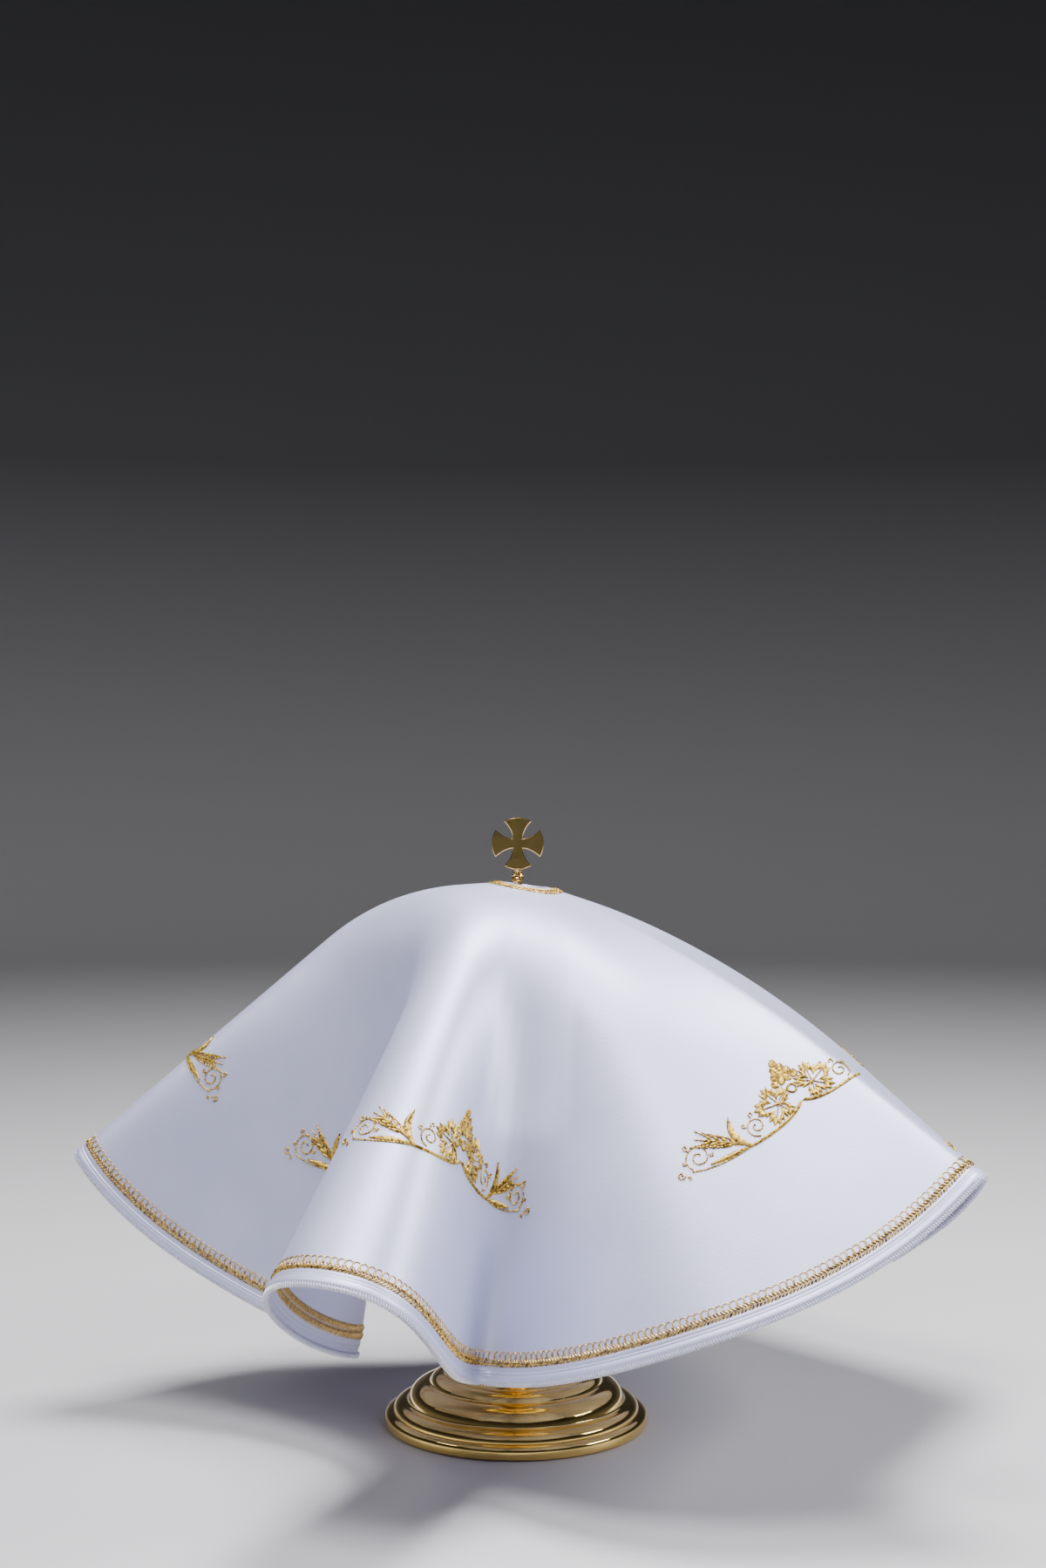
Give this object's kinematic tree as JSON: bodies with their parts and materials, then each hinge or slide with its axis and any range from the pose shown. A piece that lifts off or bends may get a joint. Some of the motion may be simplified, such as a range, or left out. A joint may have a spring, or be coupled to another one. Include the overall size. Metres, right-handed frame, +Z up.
{
  "type": "ciborium veil hung over a ciborium",
  "caption": "Round white satin veil with a gold-thread edge and grape, vine and wheat embroidery, hung in open folds over a covered ciborium with a stepped foot and a cross finial.",
  "frame": {"origin": "middle of the foot's flat underside, on the surface the ciborium stands on", "axes": "+Z up through the stem and the cross, -Y towards the front, +X to the right as seen from the front"},
  "size_m": [0.3832, 0.3874, 0.253],
  "materials": {
    "satin_cloth": "white satin with a soft sheen, embroidered in gold thread",
    "gold_plate": "gold-plated brass, polished"
  },
  "bodies": {
    "root": {"veil": "satin_cloth", "foot": "gold_plate", "knop": "gold_plate", "bowl": "gold_plate", "lid": "gold_plate", "finial": "gold_plate", "cross": "gold_plate"}
  },
  "joints": []
}
